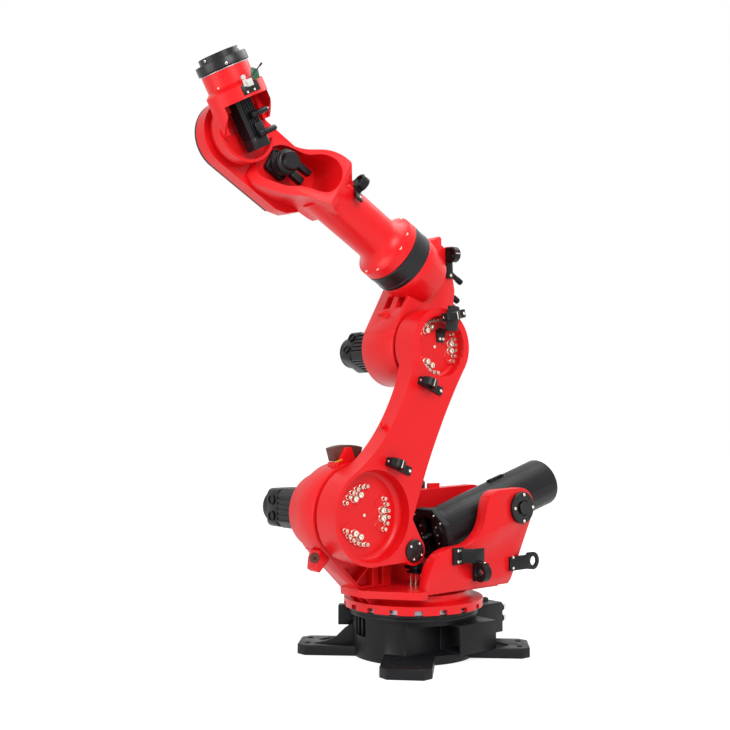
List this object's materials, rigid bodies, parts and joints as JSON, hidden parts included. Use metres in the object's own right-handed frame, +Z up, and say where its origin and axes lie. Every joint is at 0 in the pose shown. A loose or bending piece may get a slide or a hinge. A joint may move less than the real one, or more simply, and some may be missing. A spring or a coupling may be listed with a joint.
{
  "type": "six-axis industrial robot arm",
  "caption": "Heavy floor-mounted six-axis robot arm with a cast base on four feet, a slewing turntable, a sprung counterbalance cylinder and a tool flange.",
  "frame": {"origin": "on the slewing axis at floor level", "axes": "+Z up along the slewing axis, +X the way the arm faces, +Y the side on which the lower arm stands"},
  "size_m": [2.3529, 1.1553, 3.0853],
  "materials": {
    "bearing_steel": "turned steel",
    "black_casting": "satin black paint over cast iron",
    "black_motor": "satin black paint on finned aluminium",
    "black_plastic": "moulded plastic",
    "black_steel": "black oxide and paint on plate steel",
    "brown_rubber": "moulded rubber",
    "red_paint": "semi-gloss paint over cast iron",
    "rod_steel": "hard chrome"
  },
  "bodies": {
    "base": {"base_casting": "black_casting", "base_connectors": "black_plastic", "bearing_ring": "bearing_steel", "connector_box": "black_plastic", "fork_pocket_far": "black_casting", "fork_pocket_near": "black_casting", "side_box": "black_casting"},
    "turntable": {"hose_guide": "black_steel", "lifting_eye": "black_steel", "shoulder_housing": "red_paint", "shoulder_lug": "red_paint", "shoulder_motor": "black_motor", "stop_block": "brown_rubber", "stop_bracket": "red_paint", "trunnion_caps": "black_steel", "turntable_casting": "red_paint", "yaw_motor": "black_motor", "yoke_clamp_bracket": "black_plastic", "yoke_far_plate": "red_paint", "yoke_hose_clamp": "black_plastic", "yoke_near_plate": "red_paint"},
    "counterbalance_cylinder": {"cylinder_flange": "black_casting", "cylinder_handle": "black_casting", "cylinder_tube": "black_casting", "trunnion_pins": "red_paint"},
    "counterbalance_rod": {"piston_rod": "rod_steel"},
    "lower_arm": {"arm_hose_clamps": "black_plastic", "elbow_reducer": "black_steel", "lower_arm_casting": "red_paint", "rod_pin": "black_steel", "shoulder_reducer": "black_steel"},
    "elbow": {"elbow_casting": "red_paint", "elbow_connectors": "black_plastic", "elbow_hose_clamp": "black_plastic", "elbow_motor": "black_motor", "forearm_collar": "black_steel"},
    "forearm": {"belt_cover": "black_steel", "forearm_casting": "red_paint", "forearm_hose_clamp": "black_plastic", "wrist_drive_motor": "black_motor"},
    "wrist": {"flange_motor": "black_motor", "flange_seal_ring": "bearing_steel", "wrist_casting": "red_paint"},
    "tool": {"tool_flange": "black_steel"}
  },
  "joints": [
    {"name": "j1_slew", "type": "hinge", "parent": "base", "child": "turntable", "pos_m": [0, 0, 0.262], "axis": [0, 0, 1], "range_deg": [-160, 160]},
    {"name": "j2_shoulder", "type": "hinge", "parent": "turntable", "child": "lower_arm", "pos_m": [0.458, 0, 0.777], "axis": [0, 1, 0], "range_deg": [-22, 103]},
    {"name": "j3_elbow", "type": "hinge", "parent": "lower_arm", "child": "elbow", "pos_m": [-0.01941, 0, 1.66364], "axis": [0, -1, 0], "range_deg": [-80, 70]},
    {"name": "j4_forearm_roll", "type": "hinge", "parent": "elbow", "child": "forearm", "pos_m": [-0.20048, 0, 1.98631], "axis": [0.8721, 0, 0.4894], "range_deg": [-180, 180]},
    {"name": "j5_wrist", "type": "hinge", "parent": "forearm", "child": "wrist", "pos_m": [1.07972, 0, 2.70472], "axis": [0, -1, 0], "range_deg": [-145, 84]},
    {"name": "j6_tool", "type": "hinge", "parent": "wrist", "child": "tool", "pos_m": [1.22972, 0, 2.96453], "axis": [0.5, 0, 0.866], "range_deg": [-360, 360]},
    {"name": "cylinder_swing", "type": "hinge", "parent": "turntable", "child": "counterbalance_cylinder", "pos_m": [-0.515, 0, 0.776], "axis": [0, -1, 0], "range_deg": [-8.86, 39.64]},
    {"name": "rod_pin_turn", "type": "hinge", "parent": "lower_arm", "child": "counterbalance_rod", "pos_m": [0.19, 0, 0.582], "axis": [0, -1, 0], "range_deg": [-30.86, 142.64]}
  ],
  "couplings": [
    {"joint": "cylinder_swing", "follows": "j2_shoulder", "ratio": 0.38},
    {"joint": "rod_pin_turn", "follows": "j2_shoulder", "ratio": 1.38}
  ]
}
